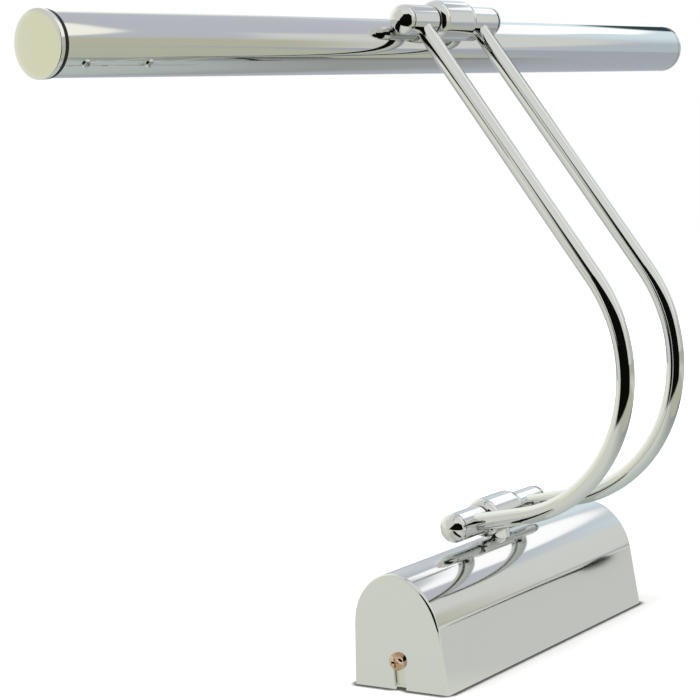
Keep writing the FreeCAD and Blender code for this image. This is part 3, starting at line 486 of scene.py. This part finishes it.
# Soft-edged cards hung round the object. Azimuth 0 is +Y and 90 is +X, in degrees. Size is half the width and
# height in degrees, distance is in metres, corner 2 is an ellipse and 8 nearly a rectangle, and soft is the
# edge's share of the half size.
cards = {
    "backWall": {"azimuth": 0, "elevation": 0, "distance": 30, "size": (50.5, 50.5), "corner": 2,
                 "soft": 0.02, "colour": "#CCCFD7"},
    "blueCorner": {"azimuth": 12, "elevation": -2, "distance": 29, "size": (19, 13), "corner": 4,
                   "soft": 0.12, "colour": "#C4CFD6"},
    "tealBlind": {"azimuth": -3, "elevation": 19, "distance": 28, "size": (26, 12), "corner": 3,
                  "soft": 0.4, "colour": "#E7F9FF", "strength": 1.05},
    "brightBand": {"azimuth": 45.7, "elevation": 35.2, "distance": 27, "size": (30, 9), "turn": -63.5,
                   "corner": 8, "soft": 0.06, "colour": "#FFFEF2", "strength": 1.15},
    "paleScreen": {"azimuth": 36, "elevation": 6, "distance": 26, "size": (6, 20), "turn": 20, "corner": 8,
                   "soft": 0.15, "colour": "#E6E7E3"},
    "oliveScreen": {"azimuth": 47.5, "elevation": 0, "distance": 25, "size": (9.5, 12.5), "corner": 6,
                    "soft": 0.3, "colour": "#C8C7B3"},
    "stripLight": {"azimuth": 0, "elevation": 32.4, "distance": 2.0, "size": (16.5, 4.2), "corner": 6,
                   "soft": 0.12, "colour": "#FFFFFF", "strength": 1.32},
    "standArm": {"azimuth": -14.5, "elevation": 19.5, "distance": 20, "size": (14, 6.1), "turn": 30,
                 "corner": 2, "soft": 0.08, "colour": "#33454A"},
    "creamWall": {"azimuth": 240, "elevation": 12, "distance": 30, "size": (45, 35), "corner": 3,
                  "soft": 0.2, "colour": "#FAFCEC"},
    "sideWindow": {"azimuth": 292, "elevation": 26, "distance": 29, "size": (28, 24), "corner": 4,
                   "soft": 0.2, "colour": "#FBFFF6", "strength": 1.15},
    "warmPatch": {"azimuth": 224, "elevation": 6, "distance": 28, "size": (8, 9), "corner": 2,
                  "soft": 0.5, "colour": "#F1EFD0"},
    "darkOpening": {"azimuth": 152.5, "elevation": 0, "distance": 25, "size": (52.5, 31.5), "corner": 8,
                    "soft": 0.04, "colour": "#0D0E0B"},
    "slantedScreen": {"azimuth": 208, "elevation": 28.4, "distance": 24, "size": (25, 25), "turn": -50,
                      "corner": 8, "soft": 0.08, "colour": "#E3E4DD"},
}


def hangCard(name, card):
    # One glowing card with soft edges, square to the line from the object's middle.
    material, tree = newMaterial(name)
    spare = 1 + card["soft"]                         # the sheet is larger than the card by its soft edge
    place = addNode(tree, "ShaderNodeSeparateXYZ",
                    inputs={"Vector": addNode(tree, "ShaderNodeTexCoord").outputs["Object"]})
    reach = []
    for axis in ("X", "Y"):
        size = addNode(tree, "ShaderNodeMath", {"operation": "ABSOLUTE"}, {0: place.outputs[axis]})
        halves = addNode(tree, "ShaderNodeMath", multiply, {0: size, 1: spare})
        reach.append(addNode(tree, "ShaderNodeMath", {"operation": "POWER"}, {0: halves, 1: card["corner"]}))
    total = addNode(tree, "ShaderNodeMath", {"operation": "ADD"}, {0: reach[0], 1: reach[1]})
    rim = addNode(tree, "ShaderNodeMath", {"operation": "POWER"}, {0: total, 1: 1 / card["corner"]})
    inside = addNode(tree, "ShaderNodeMapRange", smoothly,
                     {"Value": rim, "From Min": spare, "From Max": 1 - card["soft"]})
    glow = addNode(tree, "ShaderNodeEmission", inputs={
        "Color": hexColour(card["colour"]), "Strength": card.get("strength", 1.0)})
    clear = addNode(tree, "ShaderNodeBsdfTransparent")
    shader = addNode(tree, "ShaderNodeMixShader", inputs={"Fac": inside, 1: clear, 2: glow})
    addNode(tree, "ShaderNodeOutputMaterial", inputs={"Surface": shader})
    material.cycles.emission_sampling = "NONE"
    azimuth, elevation = math.radians(card["azimuth"]), math.radians(card["elevation"])
    outwards = Vector((math.sin(azimuth) * math.cos(elevation), math.cos(azimuth) * math.cos(elevation),
                       math.sin(elevation)))
    level = Vector((math.cos(azimuth), -math.sin(azimuth), 0))
    upright = level.cross(outwards)
    facing = Matrix((level, upright, -outwards)).transposed().to_4x4()
    width, height = (card["distance"] * math.tan(math.radians(half)) * spare for half in card["size"])
    sheet = addSheet(name, material)
    sheet.matrix_world = (Matrix.Translation(Vector(room["middle"]) + card["distance"] * outwards) @ facing
                          @ Matrix.Rotation(math.radians(card.get("turn", 0)), 4, "Z")
                          @ Matrix.Diagonal((width, height, 1, 1)))
    mirroredOnly(sheet)


def mirroredRoom():
    # The camera sees plain white, plain surfaces get an even light, and the chrome sees the room and cards.
    world = bpy.data.worlds.new("mirroredRoom")
    bpy.context.scene.world = world
    world.use_nodes = True
    tree = world.node_tree
    tree.nodes.clear()
    way = addNode(tree, "ShaderNodeTexCoord").outputs["Generated"]
    height = addNode(tree, "ShaderNodeSeparateXYZ", inputs={"Vector": way}).outputs["Z"]
    walls = colourRamp(tree, height, room["walls"])
    mirrored = addNode(tree, "ShaderNodeBackground", inputs={"Color": walls})
    plain = addNode(tree, "ShaderNodeBackground", inputs={"Color": white, "Strength": room["roomLight"]})
    backdrop = addNode(tree, "ShaderNodeBackground",
                       inputs={"Color": white, "Strength": room["backdropLight"]})
    path = addNode(tree, "ShaderNodeLightPath")
    shiny = addNode(tree, "ShaderNodeMath", {"operation": "MAXIMUM"},
                    {0: path.outputs["Is Glossy Ray"], 1: path.outputs["Is Transmission Ray"]})
    light = addNode(tree, "ShaderNodeMixShader", inputs={"Fac": shiny, 1: plain, 2: mirrored})
    seen = addNode(tree, "ShaderNodeMixShader",
                   inputs={"Fac": path.outputs["Is Camera Ray"], 1: light, 2: backdrop})
    addNode(tree, "ShaderNodeOutputWorld", inputs={"Surface": seen})
    for name, card in cards.items():
        hangCard(name, card)


# The paper floor and what lies round it, in metres.
paper = {
    "span": 3.0,
    "sink": 0.0001,                      # keeps the paper just clear of the wall face
    "white": "#F4F4F2",                  # as the camera sees it
    "rough": 0.9, "shine": 0.1, "toothMm": 0.8, "toothDetail": 2.0, "toothDepthMm": 0.02,
    "lift": 0.34, "farLift": 1.0,        # added light, beside the object and far from it, to plain white
    "nearReach": 0.25, "farReach": 0.8,  # distance from the object where the lift grows
    # the line of painted shade where the object touches: its reach, its shade, and how open the paper is
    # across it
    "contactReach": 0.004, "contactShade": 0.1, "contactOpen": (0.8, 0.97), "contactSamples": 8,
    # what the chrome sees from above, by the distance along Y
    "steep": {-0.10: "#E2E5DC", 0.0: "#CDD3CE", 0.06: "#C3CCC8", 0.14: "#BAC2BF", 0.20: "#AFB3B2",
              0.28: "#A5A9A7", 0.55: "#ABADAE", 0.65: "#B7B9BC", 0.82: "#BCC3CB"},
    "edgeShade": 0.66, "edgeShadeFrom": 0.11,    # the paper darkens towards its edge at the gap
    # and what it sees along the paper, where a grazing view is paler: a painted sheen
    "grazingSide": "#DADDD7", "grazingFront": "#E8EADF", "grazingBeyond": "#EDEEE7",
    "grazingTurn": (-0.02, -0.09),       # where along Y the side's colour gives way to the front's
    "grazingFrom": 0.64, "grazingTo": 0.78, "grazingReach": (0.9, 0.4),
    "sideBoard": "#C3C6B2", "sideBoardEdge": 0.20,
    "farBoard": "#B5BBC3", "farBoardWay": (-0.55, 1.0), "farBoardFrom": 0.38, "farBoardTo": 0.6,
    # the gap between paper and board: its colour is painted shade, its width near and far along Y, and where
    # it starts and ends
    "gapShadeColour": "#20241F", "gapNear": 0.003, "gapFar": 0.008, "gapGrowsFrom": 0.12,
    "gapStart": 0.23, "gapEnd": 0.345, "gapSoft": 0.01,
    # a dark strip of painted shade that stands on the paper beside the base, as X, Y and height
    "paintedShadeStrip": [(0.205, 0.148, 0.003), (0.205, 0.184, 0.006), (0.202, 0.223, 0.008), (0.19, 0.234, 0.009),
                  (0.175, 0.238, 0.009), (0.155, 0.232, 0.010), (0.147, 0.224, 0.014), (0.143, 0.236, 0.022),
                  (0.146, 0.248, 0.014), (0.15, 0.262, 0.001)],
    # the dark corner in front is past both of these edges: which way each faces, and how far out it lies
    "frontEdges": [((0.67, -0.75), 0.31), ((-0.12, -0.993), 0.0)],
    "frontSoft": 0.02, "frontColour": "#0D0E0B",
}


def paperForCamera(tree, away, path):
    # White paper with the object's shadow, and a thin line of shade painted into its colour where it touches.
    nearness = addNode(tree, "ShaderNodeAmbientOcclusion", {"samples": paper["contactSamples"]},
                       {"Distance": paper["contactReach"]})
    closed, opened = paper["contactOpen"]
    touch = addNode(tree, "ShaderNodeMapRange", inputs={
        "Value": nearness.outputs["AO"], "From Min": closed, "From Max": opened,
        "To Min": paper["contactShade"]})
    shade = addNode(tree, "ShaderNodeMix", mixColours, {
        "Factor": touch, "A": black, "B": hexColour(paper["white"])})
    tooth = grainNoise(tree, paper["toothMm"], paper["toothDetail"])
    plain = addNode(tree, "ShaderNodeBsdfPrincipled", inputs={
        "Base Color": shade, "Roughness": paper["rough"], "Specular IOR Level": paper["shine"],
        "Normal": addNode(tree, "ShaderNodeBump", inputs={
            "Height": tooth, "Distance": paper["toothDepthMm"] * mm, "Strength": 1.0})})
    lift = addNode(tree, "ShaderNodeMapRange", inputs={
        "Value": away, "From Min": paper["nearReach"], "From Max": paper["farReach"],
        "To Min": paper["lift"], "To Max": paper["farLift"]})
    shown = addNode(tree, "ShaderNodeMath", multiply, {0: lift, 1: path.outputs["Is Camera Ray"]})
    glow = addNode(tree, "ShaderNodeEmission", inputs={"Color": shade, "Strength": shown})
    return addNode(tree, "ShaderNodeAddShader", inputs={0: plain, 1: glow})


def paperForChrome(tree, place, away):
    # What the chrome sees: paper that is paler along it, with a painted sheen, an olive board past a gap
    # painted dark as shade, a grey board far behind, and the dark room past the front edges.
    parts = addNode(tree, "ShaderNodeSeparateXYZ", inputs={"Vector": place})
    x, y = parts.outputs["X"], parts.outputs["Y"]
    beyondGap = addNode(tree, "ShaderNodeMath", {"operation": "GREATER_THAN"},
                        {0: x, 1: paper["sideBoardEdge"]})
    edgeShade = addNode(tree, "ShaderNodeMapRange", inputs={
        "Value": x, "From Min": paper["edgeShadeFrom"], "From Max": paper["sideBoardEdge"],
        "To Min": 1.0, "To Max": paper["edgeShade"]})
    steep = addNode(tree, "ShaderNodeMix", mixColours, {
        "Factor": edgeShade, "A": black, "B": colourRamp(tree, y, paper["steep"])})
    steep = addNode(tree, "ShaderNodeMix", mixColours, {
        "Factor": beyondGap, "A": steep, "B": hexColour(paper["sideBoard"])})
    sideEnd, frontStart = paper["grazingTurn"]
    inFront = addNode(tree, "ShaderNodeMapRange", smoothly,
                      {"Value": y, "From Min": sideEnd, "From Max": frontStart})
    flat = addNode(tree, "ShaderNodeMix", mixColours, {
        "Factor": inFront, "A": hexColour(paper["grazingSide"]), "B": hexColour(paper["grazingFront"])})
    flat = addNode(tree, "ShaderNodeMix", mixColours, {
        "Factor": beyondGap, "A": flat, "B": hexColour(paper["grazingBeyond"])})
    # painted sheen: the paper is paler where the view grazes it, near the object
    lowView = addNode(tree, "ShaderNodeMapRange", smoothly, {
        "Value": addNode(tree, "ShaderNodeLayerWeight").outputs["Facing"],
        "From Min": paper["grazingFrom"], "From Max": paper["grazingTo"]})
    farEnd, nearStart = paper["grazingReach"]
    nearby = addNode(tree, "ShaderNodeMapRange", smoothly,
                     {"Value": away, "From Min": farEnd, "From Max": nearStart})
    grazing = addNode(tree, "ShaderNodeMath", multiply, {0: lowView, 1: nearby})
    colour = addNode(tree, "ShaderNodeMix", mixColours, {"Factor": grazing, "A": steep, "B": flat})
    behind = addNode(tree, "ShaderNodeVectorMath", {"operation": "DOT_PRODUCT"},
                     {0: place, 1: (*paper["farBoardWay"], 0.0)})
    onFarBoard = addNode(tree, "ShaderNodeMapRange", smoothly, {
        "Value": behind, "From Min": paper["farBoardFrom"], "From Max": paper["farBoardTo"]})
    colour = addNode(tree, "ShaderNodeMix", mixColours, {
        "Factor": onFarBoard, "A": colour, "B": hexColour(paper["farBoard"])})
    colour = addNode(tree, "ShaderNodeMix", mixColours, {
        "Factor": gapShadeMask(tree, x, y), "A": colour, "B": hexColour(paper["gapShadeColour"])})
    past = []
    for facingWay, edge in paper["frontEdges"]:
        reach = addNode(tree, "ShaderNodeVectorMath", {"operation": "DOT_PRODUCT"},
                        {0: place, 1: (*facingWay, 0.0)})
        past.append(addNode(tree, "ShaderNodeMapRange", smoothly, {
            "Value": reach, "From Min": edge - paper["frontSoft"], "From Max": edge + paper["frontSoft"]}))
    frontCorner = addNode(tree, "ShaderNodeMath", multiply, {0: past[0], 1: past[1]})
    colour = addNode(tree, "ShaderNodeMix", mixColours, {
        "Factor": frontCorner, "A": colour, "B": hexColour(paper["frontColour"])})
    return addNode(tree, "ShaderNodeEmission", inputs={"Color": colour})


def gapShadeMask(tree, x, y):
    # 1 in the gap between paper and board, where its shade is painted; it widens along Y and fades at both
    # ends
    width = addNode(tree, "ShaderNodeMapRange", inputs={
        "Value": y, "From Min": paper["gapGrowsFrom"], "From Max": paper["gapEnd"],
        "To Min": paper["gapNear"], "To Max": paper["gapFar"]})
    fromEdge = addNode(tree, "ShaderNodeMath", {"operation": "SUBTRACT"}, {0: x, 1: paper["sideBoardEdge"]})
    distance = addNode(tree, "ShaderNodeMath", {"operation": "ABSOLUTE"}, {0: fromEdge})
    across = addNode(tree, "ShaderNodeMath", {"operation": "LESS_THAN"}, {0: distance, 1: width})
    started = addNode(tree, "ShaderNodeMapRange", smoothly, {
        "Value": y, "From Min": paper["gapStart"] - paper["gapSoft"], "From Max": paper["gapStart"]})
    notEnded = addNode(tree, "ShaderNodeMapRange", smoothly, {
        "Value": y, "From Min": paper["gapEnd"] + paper["gapSoft"], "From Max": paper["gapEnd"]})
    along = addNode(tree, "ShaderNodeMath", multiply, {0: started, 1: notEnded})
    return addNode(tree, "ShaderNodeMath", multiply, {0: across, 1: along})


def paperFloor():
    material, tree = newMaterial("mattPaper")
    place = addNode(tree, "ShaderNodeNewGeometry").outputs["Position"]
    away = addNode(tree, "ShaderNodeVectorMath", {"operation": "LENGTH"}, {0: place})
    path = addNode(tree, "ShaderNodeLightPath")
    shader = addNode(tree, "ShaderNodeMixShader", inputs={
        "Fac": path.outputs["Is Glossy Ray"], 1: paperForCamera(tree, away, path),
        2: paperForChrome(tree, place, away)})
    addNode(tree, "ShaderNodeOutputMaterial", inputs={"Surface": shader})
    material.cycles.emission_sampling = "NONE"
    floor = addSheet("paperFloor", material)
    floor.scale = (paper["span"] / 2, paper["span"] / 2, 1)
    floor.location.z = -paper["sink"]


def standPaintedShadeStrip():
    # A sheet of painted shade for the shadow gap under a board: it draws the thin dark line that the base's
    # side mirrors.
    material, tree = newMaterial("paintedShadeStrip")
    glow = addNode(tree, "ShaderNodeEmission", inputs={"Color": hexColour(paper["gapShadeColour"])})
    addNode(tree, "ShaderNodeOutputMaterial", inputs={"Surface": glow})
    material.cycles.emission_sampling = "NONE"
    corners = [(x, y, z) for x, y, height in paper["paintedShadeStrip"] for z in (0.0, height)]
    faces = [(start, start + 2, start + 3, start + 1) for start in range(0, len(corners) - 2, 2)]
    mirroredOnly(addPanel("paintedShadeStrip", material, corners, faces))


lamps = {
    "key": {"place": (-0.5, -0.5, 1.3), "size": 0.7, "power": 9.0},
    "fill": {"place": (1.1, 0.2, 0.9), "size": 0.9, "power": 4.0},
}
lampAim = (0, 0, 0.15)


def softLight(name, look):
    lamp = bpy.data.lights.new(name + "Light", "AREA")
    lamp.shape = "SQUARE"
    lamp.size = look["size"]
    lamp.energy = look["power"]
    lampObject = bpy.data.objects.new(name + "Light", lamp)
    lampObject.location = look["place"]
    lampObject.rotation_euler = (Vector(lampAim) - Vector(look["place"])).to_track_quat("-Z", "Y").to_euler()
    lampObject.visible_glossy = False                # the chrome mirrors the cards instead of square lamps
    bpy.context.scene.collection.objects.link(lampObject)


view = {
    "place": (0.4677, -0.6740, 0.2211),
    "yaw": 39.044, "pitch": -5.25, "roll": -5.337,     # degrees; yaw 0 looks along +Y and turns left
    "focalPixels": 1746.1, "frameWidth": 700, "sensor": 36.0,
    "clip": (0.02, 20),
}


def photoCamera():
    yaw, pitch, roll = (math.radians(view[name]) for name in ("yaw", "pitch", "roll"))
    ahead = Vector((-math.sin(yaw) * math.cos(pitch), math.cos(yaw) * math.cos(pitch), math.sin(pitch)))
    right = Vector((math.cos(yaw), math.sin(yaw), 0))
    up = right.cross(ahead)
    rolledRight = math.cos(roll) * right + math.sin(roll) * up
    rolledUp = math.cos(roll) * up - math.sin(roll) * right
    lens = bpy.data.cameras.new("photoCamera")
    lens.sensor_width = view["sensor"]
    lens.lens = view["focalPixels"] / view["frameWidth"] * view["sensor"]
    lens.clip_start, lens.clip_end = view["clip"]
    camera = bpy.data.objects.new("photoCamera", lens)
    turn = Matrix((rolledRight, rolledUp, -ahead)).transposed().to_4x4()
    camera.matrix_world = Matrix.Translation(view["place"]) @ turn
    bpy.context.scene.collection.objects.link(camera)
    bpy.context.scene.camera = camera


photoCamera()
print("camera set")
dressNodes()
print("finishes set")
mirroredRoom()
paperFloor()
standPaintedShadeStrip()
for name, look in lamps.items():
    softLight(name, look)
bpy.context.scene.view_settings.view_transform = "Standard"
print("studio set")
